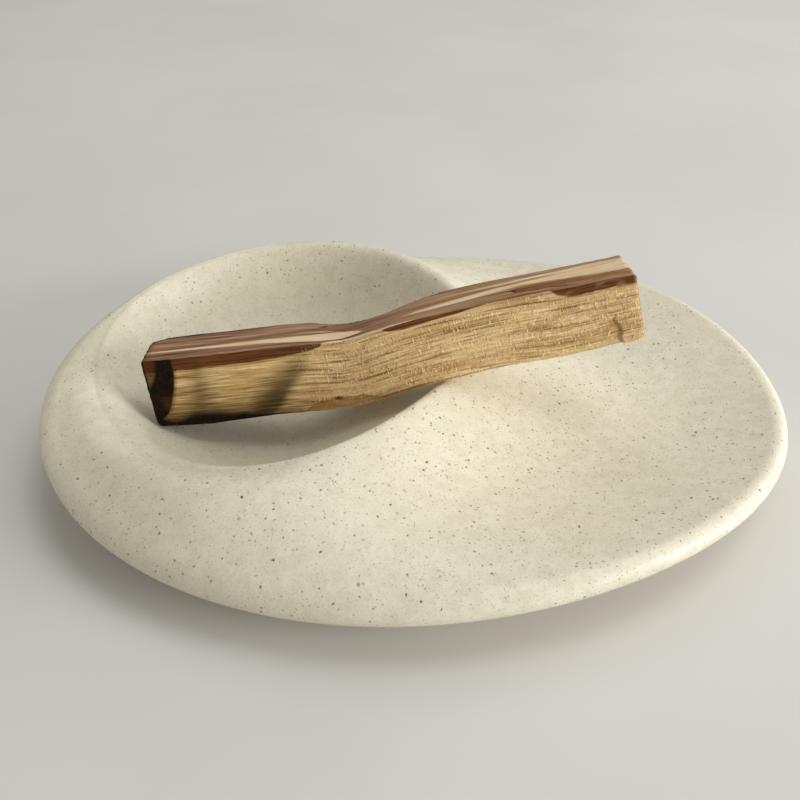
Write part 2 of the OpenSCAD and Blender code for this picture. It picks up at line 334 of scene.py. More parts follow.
class Sector:
    def __init__(self, t):
        dx, dy = EA * np.cos(t) - BX, EB * np.sin(t) - BY
        self.s = np.arctan2(dy, dx)
        self.re = np.hypot(dx, dy)
        self.rc = np.minimum(around(CREST_R, self.s), self.re - 2.5)
        self.zc, self.k = around(CREST_Z, self.s), np.maximum(around(SOFT, self.s), 0.8)
        self.fill = np.maximum(around(FILL, self.s), 0)
        self.ze, self.dip, self.m1 = around(EDGE_Z, t), around(DIP, t), around(SLOPE, t)
        self.l = np.minimum(LIP_R, 0.95 * (self.re - self.rc))

    def bowl(self, u):
        a = FLOOR + (self.zc + self.k - FLOOR) * u ** STEEP + 6.75 * self.fill * (u * (1 - u * u)) ** 2
        h = np.maximum(self.k - np.abs(a - self.zc), 0) / self.k
        return np.minimum(a, self.zc) - h ** 3 * self.k / 6

    def wing(self, r):
        ln = self.re - self.rc
        w = np.clip((r - self.rc) / ln, 0, 1)
        z = self.zc * (2 * w ** 3 - 3 * w ** 2 + 1) + (self.ze + LIP_UP) * (3 * w ** 2 - 2 * w ** 3)
        v = w ** SKEW
        return z + ln * self.m1 * (w ** 3 - w ** 2) - self.dip * 16 * (v * (1 - v)) ** 2

    def top(self, r):
        k = np.clip((r - self.re + self.l) / self.l, 0, 1)
        return np.where(r <= self.rc, self.bowl(np.minimum(r / self.rc, 1.0)),
                        self.wing(r) - LIP_UP * (1 - np.sqrt(np.maximum(1 - k * k, 0))))


def top_z(x, y):
    x, y = np.asarray(x, float), np.asarray(y, float)
    s = np.arctan2(y - BY, x - BX)
    re = reach(s, 0.0, EA, EB)
    return Sector(np.arctan2((BY + re * np.sin(s)) / EB, (BX + re * np.cos(s)) / EA)).top(np.hypot(x - BX, y - BY))


def build_tray():
    N = 360
    q = Sector(np.arange(N) * TAU / N)
    cs, sn = np.cos(q.s), np.sin(q.s)
    rings, kind = [], []

    def ring(r, z, k=0):
        rings.append(np.c_[BX + r * cs, BY + r * sn, z + 0 * r])
        kind.append(k)

    nb, nf, nl, nu = 84, 84, 20, 26
    for i in range(1, nb + 1):
        u = 1 - (1 - i / nb) ** 1.15
        ring(q.rc * u, q.bowl(u))
    for i in range(1, nf + 1):
        r = q.rc + (q.re - q.l - q.rc) * i / nf
        ring(r, q.wing(r))
    for i in range(1, nl + 1):
        a = 0.5 * math.pi * i / nl
        r = q.re - q.l + q.l * math.sin(a)
        ring(r, q.wing(r) - LIP_UP * (1 - math.cos(a)))
    rf = reach(q.s, FOOT_X, FOOT_A, FOOT_B)
    ri = reach(q.s, FOOT_X, FOOT_A - FOOT_BAND, FOOT_B - FOOT_BAND)
    pr = (q.re, q.re, rf + 0.45 * (q.re - rf), rf + 0.5)
    pz = (q.ze, q.ze - 1.1 * LIP_DN, FOOT_Z + FOOT_STEP + 0.1 * (q.ze - FOOT_Z), FOOT_Z + FOOT_STEP + 0 * rf)
    for i in range(1, nu + 1):
        v = i / nu
        c = ((1 - v) ** 3, 3 * (1 - v) ** 2 * v, 3 * (1 - v) * v * v, v ** 3)
        ring(sum(a * b for a, b in zip(c, pr)), sum(a * b for a, b in zip(c, pz)))
    for dr, z, k in ((0.22, 1.0, 0), (0.05, 0.7, 1), (0.0, 0.4, 1), (-0.05, 0.22, 1), (-0.16, 0.09, 1), (-0.4, 0.0, 1)):
        ring(rf + dr, FOOT_Z + FOOT_STEP * z + 0 * rf, k)
    for i in range(1, 9):
        ring(rf - 0.4 + (ri - rf + 0.4) * i / 8, FOOT_Z + 0 * rf, 1)
    for dr, z in ((0.12, 0.1), (0.3, 0.32), (0.5, 0.6), (0.8, 0.85), (1.2, 1.0)):
        ring(ri - dr, FOOT_Z + RECESS * z + 0 * rf, 0)
    for i in range(1, 30):
        ring((ri - 1.2) * (1 - i / 30), FOOT_Z + RECESS + 0 * rf, 0)
    verts = np.vstack([[[BX, BY, FLOOR]], np.vstack(rings), [[BX, BY, FOOT_Z + RECESS]]])
    last = len(verts) - 1
    faces = rings_to_faces(len(rings), N, 1, closed_top=0, closed_bottom=last)
    fm = [0] * N
    for k in range(len(rings) - 1):
        fm += [1 if kind[k] and kind[k + 1] else 0] * N
    fm += [0] * N
    return make_mesh("tray_dish", verts, faces, (stoneware(), bare_clay()), fm)


# ---------------------------------------------------------------- rubber pads
def pad_rubber():
    m = Nodes("pad_rubber")
    p = m.obj_mm()
    a = m.noise(p, 1.2, 4.0, 0.6)
    b = m.noise(p, 9.0, 2.0, 0.6)
    col = m.mix(m.ramp(a, 0.3, 0.7), lin(150, 149, 143), lin(128, 127, 122))
    col = m.mix(m.ramp(b, 0.6, 0.8, 0.0, 0.35), col, lin(104, 103, 98))
    m.link(col, m.bsdf.inputs["Base Color"])
    m.link(m.ramp(a, 0.3, 0.7, 0.55, 0.7), m.bsdf.inputs["Roughness"])
    m.link(m.bump(b, 0.00004, 0.7), m.bsdf.inputs["Normal"])
    return m.mat


def build_pad(node, mat):
    lo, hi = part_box(node)
    cx, cy = (lo[0] + hi[0]) / 2 / MM, (lo[1] + hi[1]) / 2 / MM
    r, h = (hi[0] - lo[0]) / 2 / MM, hi[2] / MM
    prof = [(r - 0.15, h), (r, h - 0.12)]
    prof += [(r, h - 0.12 - (h - 0.57) * i / 4) for i in range(1, 5)]
    prof += [(r - 0.45 + 0.45 * math.cos(a), 0.45 - 0.45 * math.sin(a)) for a in np.linspace(0.2, math.pi / 2, 7)]
    prof += [(r * 0.55, 0.0), (r * 0.25, 0.0)]
    n = 64
    t = np.arange(n) * TAU / n
    rings = [np.c_[cx + a * np.cos(t), cy + a * np.sin(t), b + 0 * t] for a, b in prof]
    verts = np.vstack([[[cx, cy, h]], np.vstack(rings), [[cx, cy, 0.0]]])
    faces = rings_to_faces(len(rings), n, 1, closed_top=0, closed_bottom=len(verts) - 1)
    return make_mesh("foot_" + node, verts, faces, (mat,))


# ---------------------------------------------------------------- stick
ST_L, ST_AT, ST_YAW, ST_ROLL = 99.0, (-53.0, -6.0), math.radians(-3.0), math.radians(7.0)
RISES = (0.0, 1.9, 4.2, 6.1, 11.4, 15.8, 19.2, 23.5)


def rise(f):
    v = np.array((2 * RISES[0] - RISES[1],) + RISES + (2 * RISES[-1] - RISES[-2],))
    x = np.asarray(f, float) * 7
    i = np.clip(np.floor(x), 0, 6).astype(int)
    w = x - i
    a, b, c, d = v[i], v[i + 1], v[i + 2], v[i + 3]
    return 0.5 * (2 * b + (c - a) * w + (2 * a - 5 * b + 4 * c - d) * w ** 2 + (3 * b - a - 3 * c + d) * w ** 3)


def stick_frame(f):
    f = np.asarray(f, float)
    tilt = np.arctan2(rise(f + 0.01) - rise(f - 0.01), 0.02 * ST_L)
    o = np.stack([ST_AT[0] + f * ST_L, ST_AT[1] + f * ST_L * math.tan(ST_YAW), rise(f)], -1)
    up = np.stack([-np.sin(tilt), 0 * tilt, np.cos(tilt)], -1)
    yy = np.array([0.0, 1.0, 0.0])
    back = math.cos(ST_ROLL) * yy - math.sin(ST_ROLL) * up
    top = math.cos(ST_ROLL) * up + math.sin(ST_ROLL) * yy
    return o, back, top


def stick_lift():
    f = np.arange(81) / 80.0
    o, back, _ = stick_frame(f)
    need = []
    for b in (0, 0.25, 0.5, 0.75, 1):
        p = o + b * 11.5 * back
        need.append(top_z(p[:, 0], p[:, 1]) + 0.2 - p[:, 2])
    return float(np.max(need))


# lines on the stick, read off its faces: x along it from the burnt end, v down the front
# face from the front top edge, b back from that edge, all in mm
def pl(x, *pts):
    p = np.array(pts, float)
    return np.interp(x, p[:, 0], p[:, 1])


def edge_top(x):
    return pl(x, (0, 0), (6, -0.25), (18, -0.35), (25, -0.3), (36, -0.4), (48, -0.45), (58, -0.4), (62, -0.2),
              (69, -0.1), (76, -0.2), (82, -0.5), (88, -0.2), (95, -0.1), (98.4, 0.2))


def edge_low(x):
    return pl(x, (0, 13.9), (0.9, 15.1), (5, 15.4), (11.4, 15.5), (15.5, 15.15), (25, 14.9), (30, 14.95), (35, 14.9),
              (40, 14.55), (44, 14.15), (50, 13.95), (58, 13.95), (70, 13.9), (79, 13.9), (86, 13.6), (90, 13.55),
              (93.8, 13.5), (94.4, 13.85), (96.4, 13.9), (97.6, 13.6), (99, 13.4))


def edge_back(x):
    return pl(x, (0, 8.9), (0.6, 9.9), (2.1, 10.8), (3.2, 11.5), (6.5, 12.0), (14, 12.3), (26, 12.2), (33.0, 11.9), (34.2, 11.7), (35, 11.2),
              (38, 10.6), (44.2, 9.9), (48.8, 9.2), (52.5, 9.0), (54.6, 9.5), (56.6, 10.5), (60.7, 11.2), (63.6, 11.6),
              (74, 11.6), (83, 11.8), (88, 11.7), (94, 11.2), (98, 11.0))


def facet_at(v):
    return pl(v, (0, 6.3), (3.1, 6.3), (6.3, 5.6), (10.4, 4.3), (12, 3.4), (14, 1.4), (16, 0.6))


def crescent_at(v):
    return pl(v, (6.4, 93.2), (7.4, 93.8), (8.4, 93.3), (9.9, 94.2), (11.3, 94.4), (12.1, 93.8), (13.2, 94.1), (14, 94.2))


def streak(x, v, half, *pts):
    """1 along a line given by points (x, v), fading out over 2 mm at both ends."""
    p = np.array(pts, float)
    a, b = p[0, 0], p[-1, 0]
    return within(np.abs(v - np.interp(x, p[:, 0], p[:, 1])) - half, 0.16) * step(a, a + 2, x) * (1 - step(b - 2, b, x))


def within(d, soft):
    """1 inside, 0 outside, by a distance in mm that is below zero inside; half over the given softness."""
    t = np.clip(0.5 - d / (2 * soft), 0, 1)
    return t * t * (3 - 2 * t)


def stick_wood():
    m = Nodes("palo_santo_wood")
    g = m.attr("grain_at", vec=True)            # x along the stick, y around it, both in mm
    sep = m.n("ShaderNodeSeparateXYZ"); m.link(g, sep.inputs[0])
    bend = m.noise(m.scaled(g, 0.035, 0.12, 1.0), 1.0, 2.0, 0.5)
    yy = m.math("ADD", sep.outputs[1], m.math("MULTIPLY", bend, 1.4))
    comb = m.n("ShaderNodeCombineXYZ"); m.link(sep.outputs[0], comb.inputs[0]); m.link(yy, comb.inputs[1])
    w = comb.outputs[0]
    broad = m.noise(m.scaled(w, 0.035, 0.40, 1.0), 1.0, 3.0, 0.5)
    line = m.noise(m.scaled(w, 0.055, 1.25, 1.0, (3, 7, 0)), 1.0, 3.0, 0.60)
    hair = m.noise(m.scaled(w, 0.11, 2.9, 1.0, (11, 2, 0)), 1.0, 2.0, 0.6)
    pore = m.noise(m.scaled(w, 0.75, 4.6, 1.0, (5, 9, 0)), 1.0, 2.0, 0.5)
    blot = m.noise(m.scaled(g, 0.16, 0.30, 1.0, (2, 3, 0)), 1.0, 3.0, 0.55)
    ragged = m.noise(m.scaled(w, 0.45, 2.0, 1.0, (4, 1, 0)), 1.0, 3.0, 0.6)
    rag = m.math("MULTIPLY", m.math("SUBTRACT", ragged, 0.5), 0.9)

    def cut(name, lo=0.42, hi=0.58, k=1.0):
        return m.ramp(m.math("ADD", m.attr(name), m.math("MULTIPLY", rag, k)), lo, hi)

    # sapwood of the split face: tan at the bowl end, paler gold further on
    gold = m.attr("golden")
    c_lo = m.mix(gold, lin(188, 152, 95), lin(205, 168, 116))
    c_hi = m.mix(gold, lin(216, 181, 121), lin(227, 193, 142))
    sap = m.mix(m.ramp(broad, 0.32, 0.68), c_hi, c_lo)
    sap = m.mix(m.ramp(blot, 0.45, 0.75, 0.0, 0.35), sap, lin(186, 140, 84))
    sap = m.mix(m.ramp(line, 0.54, 0.67, 0.0, 0.74), sap, lin(116, 82, 42))
    sap = m.mix(m.ramp(line, 0.45, 0.31, 0.0, 0.62), sap, lin(252, 228, 178))
    sap = m.mix(m.ramp(hair, 0.54, 0.67, 0.0, 0.66), sap, lin(106, 74, 38))
    sap = m.mix(m.ramp(hair, 0.45, 0.33, 0.0, 0.58), sap, lin(254, 232, 184))
    broken = m.ramp(ragged, 0.34, 0.58, 0.25, 1.0)
    sap = m.mix(m.math("MULTIPLY", m.math("MULTIPLY", m.attr("dim"), broken), 0.62), sap, lin(116, 84, 46))
    sap = m.mix(m.math("MULTIPLY", m.math("MULTIPLY", m.attr("pale"), broken), 0.72), sap, lin(254, 230, 176))
    sap = m.mix(m.ramp(pore, 0.60, 0.74, 0.0, 0.30), sap, lin(100, 70, 38))
    # heartwood of the upper face
    top = m.mix(m.ramp(broad, 0.32, 0.66), lin(178, 140, 110), lin(140, 102, 77))
    top = m.mix(m.math("MULTIPLY", gold, 0.50), top, lin(196, 158, 112))
    top = m.mix(m.ramp(line, 0.52, 0.66, 0.0, 0.75), top, lin(88, 56, 36))
    top = m.mix(m.ramp(hair, 0.55, 0.68, 0.0, 0.45), top, lin(96, 62, 40))
    top = m.mix(m.ramp(line, 0.44, 0.30, 0.0, 0.55), top, lin(222, 180, 148))
    cream = m.mix(m.ramp(hair, 0.40, 0.64), lin(254, 230, 194), lin(232, 198, 154))
    cream = m.mix(m.ramp(line, 0.55, 0.70, 0.0, 0.40), cream, lin(190, 148, 106))
    dark = m.mix(m.ramp(hair, 0.36, 0.66), lin(108, 56, 20), lin(70, 34, 10))
    dark = m.mix(m.ramp(line, 0.52, 0.68, 0.0, 0.55), dark, lin(56, 26, 11))

    col = m.mix(m.attr("upper"), sap, top)
    col = m.mix(m.math("MULTIPLY", cut("cream", 0.10, 0.90, 0.40), 0.96), col, cream)
    col = m.mix(m.attr("rust"), col, lin(142, 84, 40))
    # heart mask: dark heartwood lines and spots, plus painted shade along part of the lower front edge
    col = m.mix(m.math("MULTIPLY", cut("heart_and_edge_shade", 0.12, 0.88, 0.35), 0.95), col, dark)
    # short pale cross fibres raised by the split
    cross = m.noise(m.scaled(g, 3.0, 0.60, 1.0, (1, 4, 0)), 1.0, 2.0, 0.6)
    thin = m.noise(m.scaled(g, 0.35, 0.40, 1.0, (8, 1, 0)), 1.0, 2.0, 0.5)
    fib = m.math("MULTIPLY", m.ramp(cross, 0.54, 0.66), m.ramp(thin, 0.34, 0.54))
    fib = m.math("MULTIPLY", fib, m.attr("fuzz"))
    col = m.mix(m.math("MULTIPLY", fib, 0.88), col, lin(255, 230, 172))
    wisp = m.noise(m.scaled(w, 0.16, 3.2, 1.0, (9, 5, 0)), 1.0, 2.0, 0.55)
    col = m.mix(m.math("MULTIPLY", m.ramp(wisp, 0.62, 0.72, 0.0, 0.75), m.attr("fuzz")), col, lin(252, 228, 180))
    fleck = m.noise(m.scaled(g, 1.5, 2.6, 1.0, (6, 2, 0)), 1.0, 2.0, 0.6)
    col = m.mix(m.math("MULTIPLY", m.ramp(fleck, 0.57, 0.70, 0.0, 0.55), m.attr("fuzz")), col, lin(128, 90, 46))
    # smoke, scorch and char
    col = m.mix(m.math("MULTIPLY", m.attr("smoke"), m.ramp(hair, 0.30, 0.70, 0.86, 1.0)), col, lin(62, 49, 24))
    col = m.mix(cut("scorch", 0.04, 0.96, 0.22), col, lin(80, 45, 18))
    soot = m.noise(m.scaled(g, 1.1, 1.1, 1.0), 1.0, 4.0, 0.65)
    coal = m.mix(m.ramp(soot, 0.35, 0.80), lin(20, 13, 7), lin(44, 31, 20))
    col = m.mix(cut("char_and_edge_shade", 0.06, 0.94, 0.22), col, coal)
    # end grain
    q = m.obj_mm()
    ends = m.noise(m.scaled(q, 0.25, 0.9, 1.4), 1.0, 4.0, 0.6)
    rings = m.n("ShaderNodeTexWave", wave_type="RINGS", rings_direction="X", wave_profile="SIN")
    m.link(m.scaled(q, 1.0, 1.0, 1.0, (0, 9.0, -22.0)), rings.inputs["Vector"])
    rings.inputs["Scale"].default_value = 0.30
    rings.inputs["Distortion"].default_value = 3.0
    rings.inputs["Detail"].default_value = 3.0
    endc = m.mix(m.ramp(rings.outputs["Fac"], 0.25, 0.8), lin(204, 170, 120), lin(178, 138, 92))
    endc = m.mix(m.ramp(ends, 0.5, 0.72, 0.0, 0.55), endc, lin(110, 74, 44))
    dd, dc = m.voronoi(q, 2.6)
    endc = m.mix(m.ramp(dd, 0.12, 0.28, 0.6, 0.0), endc, lin(86, 56, 32))
    col = m.mix(m.attr("sawn"), col, endc)
    m.link(col, m.bsdf.inputs["Base Color"])

    rough = m.ramp(line, 0.3, 0.7, 0.74, 0.64)
    rough = m.math("ADD", rough, m.math("MULTIPLY", m.attr("char_and_edge_shade"), 0.22), clamp=True)
    m.link(rough, m.bsdf.inputs["Roughness"])
    m.bsdf.inputs["IOR"].default_value = 1.42
    m.bsdf.inputs["Specular IOR Level"].default_value = 0.18
    h = m.math("ADD", m.math("MULTIPLY", line, 1.0), m.math("MULTIPLY", hair, 0.60))
    h = m.math("ADD", h, m.math("MULTIPLY", pore, 0.30))
    h = m.math("ADD", h, m.math("MULTIPLY", fib, 0.8))
    h = m.math("SUBTRACT", h, m.math("MULTIPLY", m.math("MULTIPLY", fleck, m.attr("fuzz")), 0.6))
    h = m.math("ADD", h, m.math("MULTIPLY", m.math("MULTIPLY", soot, m.attr("char_and_edge_shade")), 1.6))
    m.link(m.bump(h, 0.00015, 0.8), m.bsdf.inputs["Normal"])
    return m.mat


def build_stick(mat):
    """The split stick: section loops along a bent axis, with split-face relief, a burnt-back corner, chips and ragged edges."""
    K = 396
    x = np.concatenate([[0.0, 0.22], np.linspace(0.5, 98.5, K), [98.8, 99.0]])
    inset = np.concatenate([[0.50, 0.14], np.zeros(K), [0.10, 0.36]])
    K = len(x)
    f = x / ST_L
    nf, nt, nk = 96, 44, 60              # points on the front, on a wide side, on the back
    lift = stick_lift()
    o, back, top = stick_frame(f)
    o = o + np.array([0, 0, lift])
    ax = np.cross(back, top)
    H = (15.5 - 1.5 * f)[:, None]
    xc = x[:, None]

    # front face
    pf = (np.arange(nf) / nf)[None, :]
    ragl = 0.22 * fbm(x * 0.35, 0 * x + 3.3, 41, 4)[:, None] * step(28, 40, xc)
    vt, vb = edge_top(x)[:, None] + 0.06 * noise2(xc * 0.5, 0 * xc, 12), edge_low(x)[:, None] + ragl
    v = vt + (vb - vt) * pf
    X = xc + 0 * v
    line = fbm(X * 0.045 + 3, v * 1.5, 5, 3)
    wide = fbm(X * 0.030, v * 0.28, 9, 3)
    fine = noise2(X * 0.10, v * 3.4, 21)
    cut = 0.10 + 0.09 * wide + 0.06 * line + 0.03 * fine + 0.04 * fbm(X * 0.9, v * 0.9, 33, 3)
    near = np.minimum(v - vt, vb - v)
    cut = cut + 0.14 * np.clip(1 - near / 0.4, 0, 1) ** 2
    fx = facet_at(v)
    cut = cut + 0.45 * np.clip(1 - X / fx, 0, 1)
    inside = within(X - fx, 0.30)
    cut = cut + 0.06 * inside * (1 + fbm(X * 0.8, v * 0.8, 61, 3))
    # low ledge where a strip has come away
    ledge = pl(x, (30, 16), (31.1, 14.2), (32.6, 13.1), (36.5, 11.9), (38, 11.7), (39.3, 11.9), (43.3, 11.9), (47.4, 13.6), (49, 16))[:, None]
    in_ledge = within(ledge + 0.25 * noise2(X * 0.6, v, 44) - v, 0.18)
    cut = cut + 0.20 * in_ledge
    hole = np.exp(-(((X - 37.9) / 0.8) ** 2 + ((v - 12.25) / 0.38) ** 2))
    cut = cut + 0.45 * hole
    # scooped chip before the far end
    xr = crescent_at(v)
    scoop = np.where(X < xr, np.exp(-(xr - X) / 2.2), np.clip(1 - (X - xr) / 0.25, 0, 1)) * step(6.6, 9.2, v)
    cut = cut + 0.62 * scoop
    nick = np.exp(-(((X - 95.2) / 1.6) ** 2 + ((v - 3.9 + 0.22 * (X - 95)) / 0.45) ** 2))
    cut = cut + 0.30 * nick
    cut = np.maximum(cut, 0.0)
    front_b, front_h = cut, H - v
    # lower side: the front edge is a little above the underside
    pb = (np.arange(nt) / nt)[None, :]
    b0 = cut[:, -1:]
    bend_w = pl(x, (0, 9.2), (3.2, 11.3), (4, 11.5))[:, None]
    bend_t = pl(x, (0, 9.4), (3.2, 11.9), (6.5, 12.4), (30, 12.4), (36, 12.0), (99, 12.0))[:, None]
    bb = b0 + (bend_w - b0) * pb
    low_h = (H - vb) * (1 - step(0.0, 1.4, bb)) + 0.10 + 0.10 * fbm(xc * 0.05 + 0 * bb, bb * 0.9, 52, 3) + 0.05 * fbm(xc * 0.5 + 0 * bb, bb * 1.2, 53, 3)
    # upper side, from the back edge forward
    eb = edge_back(x)[:, None]
    a0 = cut[:, :1]
    tb = bend_t + (a0 - bend_t) * pb
    crown = 0.12 + 0.12 * fbm(xc * 0.035 + 0 * tb, tb * 0.7, 81, 3) + 0.07 * fbm(xc * 0.05 + 0 * tb, tb * 2.1, 83, 3)
    groove = np.exp(-((tb - pl(x, (0, 7.0), (30, 7.2), (50, 6.0), (75, 3.6), (99, 1.0))[:, None]) / 0.35) ** 2)
    slit_b = pl(x, (74.4, 4.9), (75.2, 4.4), (76, 3.5), (77.1, 3.2), (78.4, 3.0), (82.4, 2.8), (85.2, 2.6), (91, 1.3), (95, 0.5))[:, None]
    slit = np.exp(-((tb - slit_b) / 0.22) ** 2) * (step(74.4, 75.0, xc) * (1 - step(84, 94, xc)))
    drop = 1.15 * np.maximum(tb - eb, 0)
    top_h = H - vt * np.clip(1 - tb / 6.0, 0, 1) - crown - 0.10 * groove - 0.50 * slit - drop
    top_h = top_h - 0.16 * np.clip(1 - np.abs(tb - a0) / 0.5, 0, 1) ** 2
    notch = np.exp(-(((xc - 35.3) / 1.3) ** 2 + ((tb - 10.1) / 0.8) ** 2))
    top_h = top_h - 0.35 * notch
    # back face
    pk = (np.arange(nk) / nk)[None, :]
    h0, h1 = low_h[:, -1:], top_h[:, :1]
    kh = h0 + (h1 - h0) * pk
    kcut = 0.16 + 0.13 * fbm(xc * 0.03 + 0 * kh, kh * 0.3, 101, 3) + 0.10 * fbm(xc * 0.045 + 0 * kh, kh * 1.4, 103, 3)
    kb = bend_w + (bend_t - bend_w) * pk - kcut * np.sin(math.pi * np.clip(pk, 0, 1)) ** 0.5
    b = np.hstack([front_b, bb, kb, tb])
    h = np.hstack([front_h, low_h, kh, top_h])
    # distance around: front face down, lower side on; upper side and back face above it, so the front top edge is unbroken
    g_y = np.hstack([v, vb + bb, -(11.5 + (H - kh)), -tb])
    side = np.concatenate([np.zeros(nf), np.ones(nt), 2 * np.ones(nk), 3 * np.ones(nt)]).astype(int)
    M = len(side)
    s0, s1, s2, s3 = (side == 0), (side == 1), (side == 2), (side == 3)
    cb, ch = 5.75, H / 2
    e = inset[:, None]
    b = cb + (b - cb) * (1 - e / cb)
    h = ch + (h - ch) * (1 - e / ch)
    P = o[:, None, :] + b[..., None] * back[:, None, :] + h[..., None] * top[:, None, :]
    # far end is cut a little askew, and split along the grain
    skew = 0.55 + 0.075 * (H - h) + 0.12 * b + 0.06 * noise2(b * 1.1, h * 1.1, 131) + 0.05 * noise2(b * 0.4 + 9, h * 2.6, 133)
    P = P - (skew * step(90.0, 99.0, xc))[..., None] * ax[:, None, :]
    start = 0.10 * noise2(b * 1.3, h * 1.3, 135)
    P = P + (start * (1 - step(0.0, 2.5, xc)))[..., None] * ax[:, None, :]
    P = P - ((0.45 + 0.030 * (H - h)) * (1 - step(0.0, 9.0, xc)))[..., None] * ax[:, None, :]

    # -------------------------------------------------- painted masks
    Z = lambda: np.zeros((K, M))
    up, cr, heart_and_shade, sm, sco, char_and_shade, fz, gold, rust, pale, dim = (Z() for _ in range(11))
    n1 = fbm(X * 0.16, v * 0.16, 71, 4)
    n2 = fbm(X * 0.05, v * 0.9, 77, 3)
    gold[:, s0] = step(24, 44, X + 3 * n1)
    gold[:, s3] = step(46, 66, xc + 0 * tb)
    gold[:, s1] = 0.2
    up[:, s3] = 1.0
    up[:, s2] = 0.35 + 0.3 * fbm(xc * 0.03 + 0 * kh, kh * 0.35, 111, 3)
    # dark heart stripes under the front top edge: bowl end, middle, far end
    l1 = pl(x, (0, 2.4), (2.3, 2.6), (6.3, 2.5), (7.1, 2.2), (9.8, 2.5), (12.5, 2.2), (17.4, 2.1), (22.4, 2.25), (26.6, 2.0), (29.1, 1.8), (31.2, 1.4), (33.6, 0.9), (36.2, 0.1), (37, -2))[:, None]
    l2 = pl(x, (51.5, -2), (52.6, -0.2), (53.5, 0.4), (55.7, 0.8), (59, 0.7), (62.3, 0.55), (66, 0.35), (70.3, -0.1), (72, -2))[:, None]
    l3 = pl(x, (79, -2), (81.5, -0.4), (83, 0.3), (85, 1.2), (86.5, 1.8), (89, 1.9), (92, 1.6), (95, 1.7), (98.2, 2.1), (99, 2.1))[:, None]
    vh = v + 0.14 * n2
    far = within(vh + 0.30 * noise2(X * 0.9, v * 1.1, 78) - l3, 0.60) * (0.86 + 0.22 * noise2(X * 0.5 + 4, v * 1.6, 79))
    heart_and_shade[:, s0] = np.maximum(np.maximum(within(vh - l1, 0.35), within(vh - l2, 0.22)), far)
    # long pale and dark lines in the split face
    vw = v + 0.16 * noise2(X * 0.22, 0 * X + 2.5, 151)
    pale[:, s0] = np.max([k * streak(X, vw, hw, *p) for k, hw, p in (
        (1.0, 0.14, ((62, 6.15), (72.6, 6.0), (77, 5.2), (83, 4.4))), (1.0, 0.16, ((64.5, 8.95), (70, 8.8), (79, 8.3))),
        (0.8, 0.12, ((73, 3.7), (84, 3.9))), (0.9, 0.16, ((88.5, 5.8), (98.5, 5.7))), (0.8, 0.16, ((87.5, 4.3), (98.5, 4.5))),
        (0.9, 0.12, ((37, 5.2), (47.5, 4.7))), (1.0, 0.14, ((49.5, 5.3), (58.5, 5.2))), (1.0, 0.16, ((58.5, 6.3), (66, 6.15))),
        (0.7, 0.25, ((13, 3.7), (20, 3.5), (27, 3.7))), (0.5, 0.20, ((12, 5.9), (22, 5.8))), (0.6, 0.14, ((33, 8.9), (42, 9.0))),
        (0.7, 0.12, ((36, 11.2), (42.5, 10.9))), (0.6, 0.16, ((70, 11.6), (82, 11.4))), (0.6, 0.16, ((52, 3.6), (60, 3.8))))], axis=0)
    dim[:, s0] = np.max([k * streak(X, vw, hw, *p) for k, hw, p in (
        (0.9, 0.12, ((53.5, 2.75), (62, 2.75), (76, 2.6))), (0.8, 0.12, ((62, 4.5), (75, 4.4))), (0.7, 0.12, ((48, 7.2), (66, 7.2), (83, 7.1))),
        (0.6, 0.12, ((69, 10.4), (80, 10.3))), (0.6, 0.10, ((72, 9.4), (86, 9.3))), (0.9, 0.13, ((88, 6.5), (98, 6.55))),
        (0.8, 0.13, ((88, 5.15), (98, 5.1))), (0.9, 0.13, ((88.5, 7.3), (94, 7.3))), (0.7, 0.12, ((36, 2.9), (51, 2.9))),
        (0.9, 0.13, ((30, 8.2), (42, 8.3), (51, 8.5))), (0.7, 0.12, ((31, 9.4), (41, 9.6))), (0.6, 0.12, ((35, 6.6), (48, 6.6))),
        (0.6, 0.10, ((49, 9.9), (62, 9.9))), (0.7, 0.10, ((10, 7.0), (16, 7.05))), (0.6, 0.10, ((12, 9.2), (16.5, 9.2))),
        (0.6, 0.10, ((17, 4.9), (26, 5.0))), (0.6, 0.10, ((20, 6.6), (33, 6.5))), (0.5, 0.10, ((14, 7.9), (24, 8.0))),
        (0.5, 0.10, ((54, 11.4), (68, 11.5))), (0.5, 0.12, ((84, 10.6), (92, 10.5))))], axis=0)
    # lines along the upper side
    c1 = pl(x, (0, 4.6), (7.3, 4.7), (12.9, 4.9), (18.6, 4.8), (24, 4.6), (29, 4.1), (33.7, 3.9), (40.2, 4.3), (45, 4.2), (48.4, 3.4))[:, None]
    w1 = pl(x, (0, 0.2), (7, 0.55), (13, 0.7), (18.6, 0.85), (24, 1.0), (29, 1.4), (33.7, 1.9), (40, 2.2), (45, 1.6), (47.5, 0.5), (48.4, -0.3), (49, -2))[:, None]
    g1 = pl(x, (0, 0.75), (18, 0.6), (30, 0.55), (38, 0.35), (49, 0.3))[:, None]
    c2 = pl(x, (54, 4.8), (60.7, 5.0), (66.3, 5.5), (71.8, 6.1), (77.2, 7.0), (83, 7.4), (89, 7.0), (93, 6.6), (97.1, 6.2))[:, None]
    w2 = pl(x, (53, -2), (55.5, 0.1), (58, 0.75), (66, 0.95), (72, 0.9), (77, 0.8), (83, 1.1), (89, 1.7), (93, 2.0), (99, 2.3))[:, None]
    c3 = pl(x, (58, 8.7), (73, 8.6), (81, 9.4), (89.2, 9.4), (94, 9.2), (97.4, 8.8))[:, None]
    w3 = pl(x, (58, -2), (62, 0.0), (70, 0.3), (81, 0.6), (90, 0.8), (99, 0.9))[:, None]
    c4 = pl(x, (28, 7.3), (32, 7.2), (38, 6.9), (41, 6.8))[:, None]
    w4 = pl(x, (28, -1), (31, 0.15), (36, 0.3), (39, 0.1), (41, -1))[:, None]
    c5 = pl(x, (34, 0.2), (40, 0.7), (50, 0.9), (55, 0.8), (60, 0.5))[:, None]
    w5 = pl(x, (33, -1), (37, 0.6), (44, 0.6), (50, 0.75), (54, 0.7), (58, 0.2), (62, -1))[:, None]
    c6 = pl(x, (3, 1.1), (30, 1.2))[:, None]
